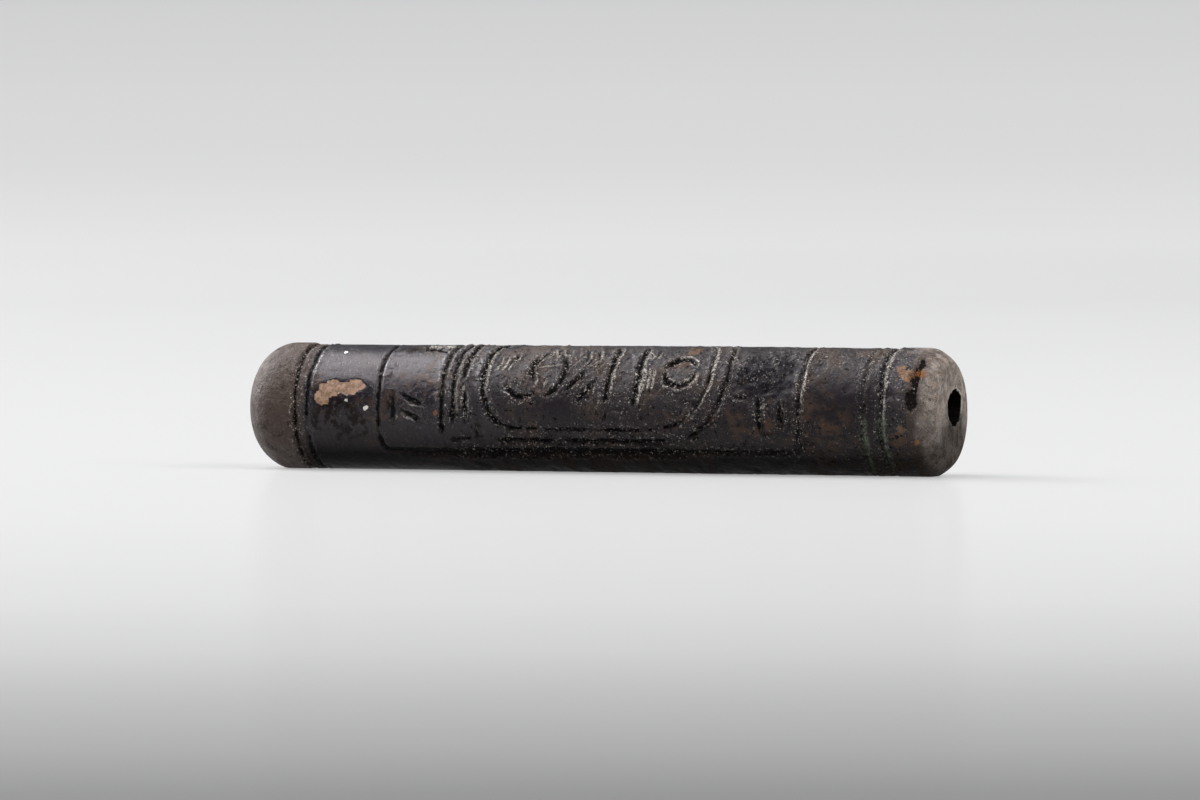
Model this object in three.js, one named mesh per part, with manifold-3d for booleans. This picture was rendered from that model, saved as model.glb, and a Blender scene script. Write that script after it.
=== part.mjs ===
// Cylinder seal of dark glazed steatite: a long thin roller with a hole along it, two turned
// rings near each end, and a framed panel round the front that holds a double-lined oval and
// rows of shallow gouged strokes. A plainer panel fills the back.
//
// Millimetres. +X runs along the seal towards its chamfered end and +Z is up. The seal lies on
// a narrow flat along its underside, and the origin is the middle of that flat.
//
// A place on the round side is an x along the seal and an angle in degrees from the topmost
// line: 90 is the middle of the front (-Y), 180 the underside and 270 the back. Carving in a
// panel gives its x as a share of the panel's length.

import * as THREE from "three";
import { mergeVertices } from "three/addons/utils/BufferGeometryUtils.js";
import Module from "manifold-3d";

// Body
const LENGTH = 46.7;
const BODY_RADIUS = 4.03;
const SLIM = 0.04; // how much thinner the body is beside the rounded end
const ROUNDED_CAP_SWELL = 0.06; // how far the cap at that end stands proud of the body
const CHAMFERED_CAP_SWELL = 0.03;
const ROUNDED_EDGE = { length: 2.25, height: 1.9, fullness: 1.7 };
const CHAMFERED_EDGE = { length: 1.25, height: 1.0, fullness: 1.3 };
const EDGE_STEPS = 5; // steps round each end's edge
const SIDES = 48; // flats that stand for the round side

// Hole along the seal, drilled a little askew: how far off the axis it comes out at each end
const BORE_RADIUS = 1.15;
const BORE_SIDES = 24;
const BORE_AT_ROUNDED_END = { back: -0.1, up: 0.05 };
const BORE_AT_CHAMFERED_END = { back: 0.6, up: 0.34 };

// Flat along the underside that stops the seal rolling
const FLAT_WIDTH = 1.6;

// Turned rings, each measured from its own end of the seal
const ROUNDED_END_RINGS = [
  { inset: 3.75, width: 0.34, depth: 0.12 },
  { inset: 4.58, width: 0.46, depth: 0.18 },
];
const CHAMFERED_END_RINGS = [
  { inset: 3.48, width: 0.42, depth: 0.15 },
  { inset: 4.65, width: 0.3, depth: 0.1 },
];

// Front panel: where its frame starts and stops
const PANEL_FROM_ROUNDED_END = 9.52;
const PANEL_FROM_CHAMFERED_END = 8.82;
const PANEL_TOP = -37;
const PANEL_FOOT = 130;
const FOOT_CLIMB = 3; // how far the foot line climbs along the panel
const FRAME_LINE = { width: 0.36, depth: 0.15 };
const CORNER = 0.7;

// The oval in the panel: its inner line is closed, its outer line is open beside the strokes
const OVAL_MIDDLE = 46;
const OVAL_FULLNESS = 2.3;
const INNER_OVAL = { from: 0.246, to: 0.787, halfSpan: 60, nearEnd: 0.088, farEnd: 0.14 };
const OUTER_OVAL = { from: 0.285, to: 0.828, halfSpan: 70.5, nearEnd: 0, farEnd: 0.15 };
const INNER_OVAL_LINE = { width: 0.3, depth: 0.11 };
const OUTER_OVAL_LINE = { width: 0.36, depth: 0.15 };

// Back panel, plainer
const BACK_TOP = 305;
const BACK_FOOT = 212;

// Gouged strokes
const FINE = { width: 0.26, depth: 0.1 };
const BOLD = { width: 0.42, depth: 0.16 };
const BROAD = { width: 0.58, depth: 0.17 };
const TIP_LENGTH = 0.35; // a stroke runs out to its tip over this length
const TIP_SHARE = 0.3; // width and depth left at the tip
const CUTTER_LIFT = 0.12; // how far a cutter stands out of the surface

// Old chips: how far from the rounded end, the angle, and the size along, round and inwards
const CHIPS = [
  { inset: 45.4, angle: 71, along: 0.4, round: 1.9, deep: 0.28 },
  { inset: 12.9, angle: 6, along: 2.3, round: 1.0, deep: 0.12 },
  { inset: 35.2, angle: 14, along: 2.6, round: 1.3, deep: 0.11 },
  { inset: 29.4, angle: 43, along: 0.7, round: 0.6, deep: 0.12 },
  { inset: 41.2, angle: 240, along: 1.5, round: 0.9, deep: 0.13 },
  { inset: 1.3, angle: 300, along: 1.5, round: 1.8, deep: 0.25 },
];

const AXIS_HEIGHT = Math.sqrt(BODY_RADIUS ** 2 - (FLAT_WIDTH / 2) ** 2);
const ROUNDED_END_X = -LENGTH / 2;
const CHAMFERED_END_X = LENGTH / 2;
const PANEL_START = ROUNDED_END_X + PANEL_FROM_ROUNDED_END;
const PANEL_FINISH = CHAMFERED_END_X - PANEL_FROM_CHAMFERED_END;

const { degToRad, radToDeg, lerp } = THREE.MathUtils;
const panelX = (share) => lerp(PANEL_START, PANEL_FINISH, share);
const roundDegrees = (length) => radToDeg(length / BODY_RADIUS);

// Radius of the round side at x, between the two shaped edges
function bodyRadius(x) {
  const capFinish = ROUNDED_END_X + ROUNDED_END_RINGS[0].inset;
  const capStart = CHAMFERED_END_X - CHAMFERED_END_RINGS[0].inset;
  if (x < capFinish) return BODY_RADIUS + ROUNDED_CAP_SWELL;
  if (x > capStart) return BODY_RADIUS + CHAMFERED_CAP_SWELL;
  const slimmed = Math.max(0, x / capFinish);
  return BODY_RADIUS - SLIM * slimmed;
}

// The point at x and angle, lifted off the round side by lift
function onSide(x, angle, lift = 0) {
  const r = bodyRadius(x) + lift;
  const a = degToRad(angle);
  return new THREE.Vector3(x, -r * Math.sin(a), AXIS_HEIGHT + r * Math.cos(a));
}

// Outline of one end, from the round side in to the flat face. inward is 1 or -1 along X.
function endOutline(endX, inward, edge) {
  const radius = bodyRadius(endX);
  const points = [];
  for (let i = 0; i <= EDGE_STEPS; i++) {
    const t = ((i / EDGE_STEPS) * Math.PI) / 2;
    const along = edge.length * (1 - Math.sin(t) ** (2 / edge.fullness));
    const r = radius - edge.height * (1 - Math.cos(t) ** (2 / edge.fullness));
    points.push(new THREE.Vector2(r, endX + inward * along));
  }
  return points;
}

// Outline of one turned ring, a V cut into the round side
function ringOutline(x, { width, depth }) {
  return [
    new THREE.Vector2(bodyRadius(x - width / 2), x - width / 2),
    new THREE.Vector2(bodyRadius(x) - depth, x),
    new THREE.Vector2(bodyRadius(x + width / 2), x + width / 2),
  ];
}

// The turned blank, closed on its axis. A lathe turns about Y, so it is laid along X.
function blankGeometry() {
  const ringsFromChamfered = [...CHAMFERED_END_RINGS].reverse();
  const profile = [
    new THREE.Vector2(0, ROUNDED_END_X),
    ...endOutline(ROUNDED_END_X, 1, ROUNDED_EDGE).reverse(),
    ...ROUNDED_END_RINGS.flatMap((ring) => ringOutline(ROUNDED_END_X + ring.inset, ring)),
    new THREE.Vector2(bodyRadius(0), 0),
    ...ringsFromChamfered.flatMap((ring) => ringOutline(CHAMFERED_END_X - ring.inset, ring)),
    ...endOutline(CHAMFERED_END_X, -1, CHAMFERED_EDGE),
    new THREE.Vector2(0, CHAMFERED_END_X),
  ];
  const geometry = new THREE.LatheGeometry(profile, SIDES);
  geometry.rotateZ(-Math.PI / 2);
  return geometry.translate(0, 0, AXIS_HEIGHT);
}

// A straight rod from one end's mouth to the other's, running on past both
function boreGeometry() {
  const { back: y0, up: z0 } = BORE_AT_ROUNDED_END;
  const { back: y1, up: z1 } = BORE_AT_CHAMFERED_END;
  const from = new THREE.Vector3(ROUNDED_END_X, y0, AXIS_HEIGHT + z0);
  const to = new THREE.Vector3(CHAMFERED_END_X, y1, AXIS_HEIGHT + z1);
  const run = new THREE.Vector3().subVectors(to, from);
  const length = run.length() + 2 * BORE_RADIUS;
  const geometry = new THREE.CylinderGeometry(BORE_RADIUS, BORE_RADIUS, length, BORE_SIDES);
  const lathed = new THREE.Vector3(0, 1, 0);
  geometry.applyQuaternion(new THREE.Quaternion().setFromUnitVectors(lathed, run.normalize()));
  const middle = from.lerp(to, 1 / 2);
  return geometry.translate(middle.x, middle.y, middle.z);
}

// Everything below z = 0, under the whole seal
function groundGeometry() {
  const reach = 4 * BODY_RADIUS;
  const geometry = new THREE.BoxGeometry(LENGTH + reach, reach, reach);
  return geometry.translate(0, 0, -reach / 2);
}

// A chip is the part of a squashed ball that lies inside the surface.
function chipGeometry({ inset, angle, along, round, deep }) {
  const geometry = new THREE.SphereGeometry(1, 8, 6);
  geometry.scale(along / 2, round / 2, deep);
  geometry.rotateX(degToRad(angle));
  const place = onSide(ROUNDED_END_X + inset, angle);
  return geometry.translate(place.x, place.y, place.z);
}

// Arc length between two places on the round side
function distance(a, b) {
  return Math.hypot(b.x - a.x, degToRad(b.angle - a.angle) * BODY_RADIUS);
}

// The path with a point added wherever it crosses every second edge between the flats
function followFlats(path) {
  const stride = (2 * 360) / SIDES;
  const points = [path[0]];
  for (let i = 1; i < path.length; i++) {
    const [a, b] = [path[i - 1], path[i]];
    const low = Math.min(a.angle, b.angle);
    const high = Math.max(a.angle, b.angle);
    const crossings = [];
    for (let edge = Math.ceil(low / stride) * stride; edge < high; edge += stride) {
      crossings.push((edge - a.angle) / (b.angle - a.angle));
    }
    crossings.sort((s, t) => s - t);
    for (const t of crossings.filter((share) => share > 0.1 && share < 0.9)) {
      points.push({ x: lerp(a.x, b.x, t), angle: lerp(a.angle, b.angle, t) });
    }
    points.push(b);
  }
  return points;
}

// The path with a point added one tip length in from each end
function addTips(path) {
  const last = path.length - 1;
  const inFrom = (a, b) => {
    const t = Math.min(TIP_LENGTH / distance(a, b), 0.4);
    return { x: lerp(a.x, b.x, t), angle: lerp(a.angle, b.angle, t) };
  };
  const first = inFrom(path[0], path[1]);
  const final = inFrom(path[last], path[last - 1]);
  return [path[0], first, ...path.slice(1, last), final, path[last]];
}

// The body of a cutter with a V-shaped cross-section at every point. It stands out of the
// surface by CUTTER_LIFT. sizes gives each point's share of the line's width and depth.
function cutterGeometry(points, sizes, { width, depth }, closed) {
  const count = points.length;
  const position = [];
  points.forEach((p, i) => {
    const before = closed ? points[(i + count - 1) % count] : points[Math.max(0, i - 1)];
    const after = closed ? points[(i + 1) % count] : points[Math.min(count - 1, i + 1)];
    const along = after.x - before.x;
    const round = degToRad(after.angle - before.angle) * BODY_RADIUS;
    const run = Math.hypot(along, round);
    const cutDepth = depth * sizes[i];
    const reach = ((width * sizes[i]) / 2) * (1 + CUTTER_LIFT / cutDepth);
    const dx = (-round / run) * reach;
    const turn = roundDegrees((along / run) * reach);
    position.push(
      ...onSide(p.x + dx, p.angle + turn, CUTTER_LIFT).toArray(),
      ...onSide(p.x - dx, p.angle - turn, CUTTER_LIFT).toArray(),
      ...onSide(p.x, p.angle, -cutDepth).toArray(),
    );
  });
  const index = [];
  const lengths = closed ? count : count - 1;
  for (let i = 0; i < lengths; i++) {
    const [a, b] = [3 * i, 3 * ((i + 1) % count)];
    for (const [k, next] of [[0, 1], [1, 2], [2, 0]]) {
      index.push(a + k, b + k, b + next, a + k, b + next, a + next);
    }
  }
  const tip = 3 * lengths;
  if (!closed) index.push(0, 1, 2, tip, tip + 2, tip + 1);
  const geometry = new THREE.BufferGeometry();
  geometry.setAttribute("position", new THREE.Float32BufferAttribute(position, 3));
  geometry.setIndex(index);
  return geometry;
}

// A line that closes on itself
function loopGeometry(path, line) {
  const points = followFlats([...path, path[0]]).slice(0, -1);
  return cutterGeometry(points, points.map(() => 1), line, true);
}

// A stroke with two tips
function strokeGeometry(path, line) {
  const points = followFlats(addTips(path));
  const last = points.length - 1;
  const sizes = points.map((_, i) => (i === 0 || i === last ? TIP_SHARE : 1));
  return cutterGeometry(points, sizes, line, false);
}

// A frame with round corners. Its foot line runs from footNear to footFar.
function framePath(top, footNear, footFar) {
  const cornerSteps = 3;
  const down = Math.sign(footNear - top);
  const turn = down * roundDegrees(CORNER);
  const [near, far] = [PANEL_START + CORNER, PANEL_FINISH - CORNER];
  const corners = [
    { x: near, angle: top + turn, first: 180 },
    { x: far, angle: top + turn, first: 270 },
    { x: far, angle: footFar - turn, first: 0 },
    { x: near, angle: footNear - turn, first: 90 },
  ];
  return corners.flatMap(({ x, angle, first }) =>
    Array.from({ length: cornerSteps + 1 }, (_, i) => {
      const a = degToRad(first + (90 * i) / cornerSteps);
      return { x: x + CORNER * Math.cos(a), angle: angle + turn * Math.sin(a) };
    }),
  );
}

// One end of a long oval, bulging by reach from the middle share. first is the starting turn.
function ovalEnd(middle, reach, halfSpan, first) {
  const steps = 10;
  const bend = (value) => Math.sign(value) * Math.abs(value) ** (2 / OVAL_FULLNESS);
  return Array.from({ length: steps + 1 }, (_, i) => {
    const a = degToRad(first + (180 * i) / steps);
    const x = panelX(middle + reach * bend(Math.cos(a)));
    return { x, angle: OVAL_MIDDLE + halfSpan * bend(Math.sin(a)) };
  });
}

function innerOvalPath() {
  const { from, to, halfSpan, nearEnd, farEnd } = INNER_OVAL;
  const far = ovalEnd(to - farEnd, farEnd, halfSpan, -90);
  return [...far, ...ovalEnd(from + nearEnd, nearEnd, halfSpan, 90)];
}

function outerOvalPath() {
  const { from, to, halfSpan, farEnd } = OUTER_OVAL;
  const start = { x: panelX(from), angle: OVAL_MIDDLE - halfSpan };
  const finish = { x: panelX(from), angle: OVAL_MIDDLE + halfSpan };
  return [start, ...ovalEnd(to - farEnd, farEnd, halfSpan, -90), finish];
}

// A straight stroke down the side. lean moves its top along.
function upright(share, top, foot, lean = 0) {
  return [{ x: panelX(share + lean), angle: top }, { x: panelX(share), angle: foot }];
}

// A straight stroke along the seal
function dash(from, to, angle) {
  return [{ x: panelX(from), angle }, { x: panelX(to), angle }];
}

// Like uprights, a step apart, each one climb degrees higher than the last
function row(count, first, step, top, foot, lean = 0, climb = 0) {
  return Array.from({ length: count }, (_, i) =>
    upright(first + step * i, top - climb * i, foot - climb * i, lean),
  );
}

// Part of a circle. Turns are in degrees: 0 is towards +X and 90 is down the front.
function arc(share, angle, radius, fromTurn, toTurn) {
  const steps = 5;
  return Array.from({ length: steps + 1 }, (_, i) => {
    const a = degToRad(lerp(fromTurn, toTurn, i / steps));
    const x = panelX(share) + radius * Math.cos(a);
    return { x, angle: angle + roundDegrees(radius * Math.sin(a)) };
  });
}

// The strokes of the front panel, in order along it. They stand in for writing and spell
// nothing.
const FINE_STROKES = [
  upright(0.031, 73, 102),
  ...row(2, 0.105, 0, 92, 102, -0.05, 15),
  ...row(3, 0.036, 0.036, -26, -8, 0.008),
  dash(0.17, 0.224, 117),
  upright(0.24, 107, 114, -0.008),
  ...row(3, 0.34, 0.05, -4, 14, 0.014),
  ...row(2, 0.487, 0.026, 20, 42, -0.01),
  dash(0.567, 0.597, 89),
  ...row(3, 0.857, 0.033, 28, 42, 0.012),
  ...row(3, 0.868, 0.033, 50, 64, -0.012),
  dash(0.845, 0.89, 77),
  dash(0.924, 0.952, 108),
  ...row(3, 0.87, 0.036, -26, -6, 0.008),
];
const BOLD_STROKES = [
  upright(0.152, -28, 112),
  upright(0.179, -28, 101),
  upright(0.202, -28, 62, 0.002),
  upright(0.209, 72, 102),
  upright(0.304, 30, 46, 0.014),
  arc(0.346, 62, 1.1, 180, 40),
  arc(0.424, 48, 1.8, 228, 145),
  arc(0.364, 50, 2.15, -42, 62),
  ...row(2, 0.446, 0.03, 50, 72, 0.046, -11),
  ...row(2, 0.547, 0.067, 14, 86, 0.002),
  upright(0.912, 80, 100, -0.004),
  upright(0.962, 83, 104, -0.012),
];
const BROAD_STROKES = [arc(0.707, 49, 1, 15, 165), arc(0.707, 49, 1, 195, 345)];

// Two plain rows on the back
const BACK_STROKES = [
  ...row(9, 0.085, 0.1, 294, 270, 0.016),
  ...row(6, 0.14, 0.14, 252, 226, -0.012),
];

function cutterGeometries() {
  const strokes = (paths, line) => paths.map((path) => strokeGeometry(path, line));
  return [
    boreGeometry(),
    groundGeometry(),
    loopGeometry(framePath(PANEL_TOP, PANEL_FOOT, PANEL_FOOT - FOOT_CLIMB), FRAME_LINE),
    loopGeometry(framePath(BACK_TOP, BACK_FOOT, BACK_FOOT), FRAME_LINE),
    loopGeometry(innerOvalPath(), INNER_OVAL_LINE),
    strokeGeometry(outerOvalPath(), OUTER_OVAL_LINE),
    ...strokes(FINE_STROKES, FINE),
    ...strokes(BOLD_STROKES, BOLD),
    ...strokes(BROAD_STROKES, BROAD),
    ...strokes(BACK_STROKES, BOLD),
    ...CHIPS.map(chipGeometry),
  ];
}

const wasm = await Module();
wasm.setup();

// A closed geometry as a solid. One that comes out inside out is turned round.
function solidOf(geometry) {
  const bare = geometry.clone();
  for (const name of ["normal", "uv"]) bare.deleteAttribute(name);
  const merged = mergeVertices(bare, 1e-4);
  const vertProperties = merged.attributes.position.array;
  const triVerts = new Uint32Array(merged.index.array);
  const solid = new wasm.Manifold(new wasm.Mesh({ numProp: 3, vertProperties, triVerts }));
  if (solid.volume() > 0) return solid;
  for (let i = 0; i < triVerts.length; i += 3) {
    [triVerts[i + 1], triVerts[i + 2]] = [triVerts[i + 2], triVerts[i + 1]];
  }
  return new wasm.Manifold(new wasm.Mesh({ numProp: 3, vertProperties, triVerts }));
}

function geometryOf(solid) {
  const { vertProperties, triVerts } = solid.getMesh();
  const geometry = new THREE.BufferGeometry();
  geometry.setAttribute("position", new THREE.BufferAttribute(vertProperties, 3));
  geometry.setIndex(new THREE.BufferAttribute(triVerts, 1));
  geometry.computeVertexNormals();
  return geometry;
}

let seal = solidOf(blankGeometry());
for (const cutter of cutterGeometries()) seal = seal.subtract(solidOf(cutter));

const glazedSteatite = new THREE.MeshStandardMaterial({
  color: 0x2e2927,
  roughness: 0.42,
  metalness: 0,
});
const mesh = new THREE.Mesh(geometryOf(seal), glazedSteatite);
mesh.name = "cylinder_seal";

const part = new THREE.Group();
part.add(mesh);
export default part;
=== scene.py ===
# %% [markdown]
# # A worn cylinder seal
# The object is a slim roller of dark glazed stone, about as long as two finger joints and as
# thick as a pencil. A craftsman turned and drilled it, cut rings and a framed panel into it, and
# glazed it. Long burial then dulled the glaze and left crust beside the cuts. This lesson builds
# it as one dense mesh whose surface is lowered and raised by numbers, and gives it one finish.

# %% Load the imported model
import itertools
import math

import bpy
import numpy as np
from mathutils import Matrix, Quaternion, Vector


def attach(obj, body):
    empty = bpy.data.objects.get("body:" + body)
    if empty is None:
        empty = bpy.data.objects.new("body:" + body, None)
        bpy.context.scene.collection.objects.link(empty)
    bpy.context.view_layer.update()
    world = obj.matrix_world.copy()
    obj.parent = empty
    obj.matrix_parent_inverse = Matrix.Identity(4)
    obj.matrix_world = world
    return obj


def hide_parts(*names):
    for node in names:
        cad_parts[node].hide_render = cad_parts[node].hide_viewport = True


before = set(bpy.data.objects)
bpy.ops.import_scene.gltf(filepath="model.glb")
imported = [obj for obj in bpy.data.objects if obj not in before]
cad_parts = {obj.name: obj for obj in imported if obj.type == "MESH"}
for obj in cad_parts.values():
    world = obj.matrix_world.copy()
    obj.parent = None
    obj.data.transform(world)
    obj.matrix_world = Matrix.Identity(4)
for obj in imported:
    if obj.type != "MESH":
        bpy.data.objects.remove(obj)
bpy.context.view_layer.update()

# %% [markdown]
# The seal is described in millimetres, because its details are tenths of one, and is turned
# into metres only when the mesh is made. A place on the round side has an x along the seal
# and an angle from the topmost line: 90 degrees is the middle of the front. The sizes repeat
# those of the solid model, so that the fine surface lies on the plain one.

# %% Sizes of the blank
HALF_LENGTH = 46.7 / 2
BODY_RADIUS = 4.03
SLIM = 0.04
ROUNDED_CAP_RADIUS = BODY_RADIUS + 0.06
CHAMFERED_CAP_RADIUS = BODY_RADIUS + 0.03
AXIS_HEIGHT = math.sqrt(BODY_RADIUS**2 - 0.8**2)
ROUNDED_EDGE = dict(length=2.25, height=1.9, fullness=1.7)
CHAMFERED_EDGE = dict(length=1.25, height=1.0, fullness=1.3)
BORE_RADIUS = 1.15
MOUTH_LIP = 0.1
BORE_AT_ROUNDED_END = (-0.1, 0.05)
BORE_AT_CHAMFERED_END = (0.6, 0.34)
print("ratio of length to thickness:", round(HALF_LENGTH / BODY_RADIUS, 2))

# %% [markdown]
# The mesh is a grid bent into a tube: rings stand along the seal and columns run from end to
# end. Carving needs about a tenth of a millimetre between them and plain stone needs much
# less, so they are set close where the cutting is and wide where it isn't. Subdividing the
# whole surface evenly would be simpler, and would spend half of its faces on nothing.


# %% A helper that spreads rings and columns
def spread(start, finish, count, closeness):
    """Places from start to finish, closer together where closeness is larger."""
    fine = np.linspace(start, finish, 6000)
    gathered = np.concatenate([[0], np.cumsum(closeness(fine)[:-1])])
    return np.interp(np.linspace(0, gathered[-1], count), gathered, fine)


def column_closeness(angle):
    front = 1.0 / (1 + np.exp((np.abs(angle - 46) - 92) / 4))
    back = 0.6 / (1 + np.exp((np.abs(angle - 258) - 52) / 4))
    return 0.42 + np.maximum(front, back) * 0.62


def ring_closeness(x):
    panel = 1.0 / (1 + np.exp((np.abs(x - 0.35) - 15.2) / 0.4))
    rings = 1.0 / (1 + np.exp((np.abs(np.abs(x) - 19.3) - 1.2) / 0.2))
    return 0.5 + np.maximum(panel, rings) * 0.5


# %% Stand the columns and the rings of the side
column_angle = spread(-45, 315, 197, column_closeness)[:-1]
# Millimetres over which each end's edge is worn round
WORN = 0.42
SIDE_START = -HALF_LENGTH + ROUNDED_EDGE["length"] + WORN
SIDE_FINISH = HALF_LENGTH - CHAMFERED_EDGE["length"] - WORN
side_x = spread(SIDE_START, SIDE_FINISH, 396, ring_closeness)
print(len(column_angle), "columns and", len(side_x), "rings on the side")

# %% [markdown]
# The blank's outline runs from the rim of one mouth over the end face, round the worn edge,
# along the side, round the other edge and in to the second mouth. Turning an outline is what a
# lathe does. Here each ring is placed one by one instead, because the hole isn't in the middle:
# the rings of an end face glide from the round edge to the mouth that sits to one side.


# %% The outline of the side and of an end's edge
def side_radius(x):
    left, right = -HALF_LENGTH + 3.75, HALF_LENGTH - 3.48
    slimmed = BODY_RADIUS - SLIM * np.clip(x / left, 0, 1)
    cap_left = np.clip((left - x) / 0.25, 0, 1)
    cap_right = np.clip((x - right) / 0.25, 0, 1)
    radius = slimmed + (ROUNDED_CAP_RADIUS - slimmed) * cap_left
    return radius + (CHAMFERED_CAP_RADIUS - radius) * cap_right


def edge_outline(cap_radius, edge, steps):
    """Distance in from the end face, and radius, from the side to the face.

    The outline is averaged over WORN millimetres both ways, which rounds its two corners.
    """
    turn = np.linspace(0, np.pi / 2, 400)
    along = edge["length"] * (1 - np.sin(turn) ** (2 / edge["fullness"]))
    radius = cap_radius - edge["height"] * (1 - np.cos(turn) ** (2 / edge["fullness"]))
    along = np.concatenate([[along[0] + 1], along, [0]])
    radius = np.concatenate([[cap_radius], radius, [radius[-1] - 1]])
    walked = np.concatenate([[0], np.cumsum(np.hypot(np.diff(along), np.diff(radius)))])
    offsets = np.linspace(-WORN, WORN, 21)
    weight = np.cos(offsets / WORN * np.pi / 2) ** 2
    weight /= weight.sum()
    places = np.linspace(1 - WORN, walked[-1] - 1 + WORN, steps + 1)[:, None] + offsets
    return np.interp(places, walked, along) @ weight, np.interp(places, walked, radius) @ weight


# %% Lay out every ring of the blank
def ring(x, radius, middle=(0.0, 0.0), wider=1.0):
    """One ring of points in millimetres, round a middle given as (back, up) off the axis."""
    turn = np.radians(column_angle)
    y = middle[0] - radius * wider * np.sin(turn)
    z = AXIS_HEIGHT + middle[1] + radius * np.cos(turn)
    return np.stack([np.full(len(turn), x, float), y, z], -1)


def face_rings(x, rim_radius, mouth, steps, inward, wider=1.0):
    """Rings of an end face from its rim to the mouth, whose lip is worn round and wide."""
    rings = []
    for step in range(1, steps + 1):
        share = step / steps
        outer = ring(x, rim_radius)
        inner = ring(x, BORE_RADIUS + MOUTH_LIP, mouth, wider)
        rings.append(outer + (inner - outer) * share)
    for turn in (0.35, 0.7, 1.0):
        bend = turn * math.pi / 2
        radius = BORE_RADIUS + MOUTH_LIP * (1 - math.sin(bend))
        deeper = inward * MOUTH_LIP * (1 - math.cos(bend))
        rings.append(ring(x + deeper, radius, mouth, wider))
    return rings


along, radius = edge_outline(ROUNDED_CAP_RADIUS, ROUNDED_EDGE, 24)
rounded_edge = [ring(-HALF_LENGTH + a, r) for a, r in zip(along, radius)][1:]
rounded_rim = radius[-1]
along, radius = edge_outline(CHAMFERED_CAP_RADIUS, CHAMFERED_EDGE, 16)
chamfered_edge = [ring(HALF_LENGTH - a, r) for a, r in zip(along, radius)][1:]
chamfered_rim = radius[-1]
rounded_face = face_rings(-HALF_LENGTH, rounded_rim, BORE_AT_ROUNDED_END, 8, 1)
chamfered_face = face_rings(HALF_LENGTH, chamfered_rim, BORE_AT_CHAMFERED_END, 15, -1, 1.12)
side = [ring(x, side_radius(x)) for x in side_x]
print("the rounded end's flat face is", round(2 * rounded_rim, 2), "mm across")
print("the chamfered end's flat face is", round(2 * chamfered_rim, 2), "mm across")


# %% The rings inside the hole
def bore_rings(steps):
    """Rings from the chamfered end's mouth to the rounded end's, on a straight line."""
    rings = []
    for step in range(1, steps):
        share = step / steps
        x = HALF_LENGTH - MOUTH_LIP - share * (2 * HALF_LENGTH - 2 * MOUTH_LIP)
        middle = [
            b + (a - b) * share for a, b in zip(BORE_AT_ROUNDED_END, BORE_AT_CHAMFERED_END)
        ]
        rings.append(ring(x, BORE_RADIUS, middle))
    return rings


tube = rounded_face[::-1] + rounded_edge[::-1] + side + chamfered_edge + chamfered_face
first_side_ring = len(rounded_face) + len(rounded_edge)
outer_rings = len(tube)
tube = np.array(tube + bore_rings(14))
print(tube.shape[0], "rings in all,", tube.shape[0] * tube.shape[1], "points")

# %% [markdown]
# Nothing on an old hand-made thing is even, so the surface needs unevenness at several sizes:
# slow swells, soft dents and grains. Blender has noise of its own for shaders. For moving
# points, a small one in numbers is quick: random values stand on a lattice, and each point
# takes a smooth blend of the eight round it. The seeds are fixed, so every run is the same.


# %% A helper for unevenness
def unevenness(points, size, seed):
    """Values between -1 and 1 that change over about size millimetres."""
    table = np.random.default_rng(seed).uniform(-1, 1, 8192)
    place = points / size + 40.5
    cell = np.floor(place).astype(np.int64)
    part = place - cell
    part = part * part * (3 - 2 * part)
    total = np.zeros(points.shape[:-1])
    for corner in itertools.product((0, 1), repeat=3):
        key = cell + corner
        key = key[..., 0] * 73856093 ^ key[..., 1] * 19349663 ^ key[..., 2] * 83492791
        share = np.where(corner, part, 1 - part).prod(-1)
        total += table[key & 8191] * share
    return total


def many_sizes(points, size, seed, times=3):
    """Unevenness with finer unevenness on it."""
    total = sum(unevenness(points, size / 2**k, seed + k) / 2**k for k in range(times))
    return total / 1.6


side_points = tube[first_side_ring : first_side_ring + len(side_x)]
wobble = 0.07 * unevenness(side_points, 1.6, 1) + 0.03 * unevenness(side_points, 0.5, 2)
wobble_round = 0.07 * unevenness(side_points, 1.6, 3) + 0.03 * unevenness(side_points, 0.5, 4)
ragged = unevenness(side_points, 0.42, 5)
print("lines wander by up to", round(float(np.abs(wobble).max()), 3), "mm")

# %% [markdown]
# A hand-cut line is a V with a ragged edge that thins out at its tips. The tool leans, so the
# left or upper wall is steep, the other one slopes gently, and a low burr stands along it.
# Dirt fills the floor, and painted shade darkens the foot of the steep wall and leaves the
# gentle one nearly clean, and grit clings to a narrow zone on both sides. The lines could be cut
# with booleans, one cutter each, as in the solid model. Here every point of the side measures
# how far it is from the line and sinks by that, which gives soft floors, broken edges and burrs
# with no stray faces.

# %% The unrolled side
grid_x = side_x[:, None] + wobble
grid_round = np.radians(column_angle)[None, :] * BODY_RADIUS + wobble_round
carved = np.zeros_like(grid_x)
dirt_and_shade = np.zeros_like(grid_x)
lip = np.zeros_like(grid_x)
halo = np.zeros_like(grid_x)
BURR_WIDTH = 0.13
GRIT_WIDTH = 0.26
print("the unrolled side is", round(float(np.ptp(grid_round)), 1), "mm round")


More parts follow.
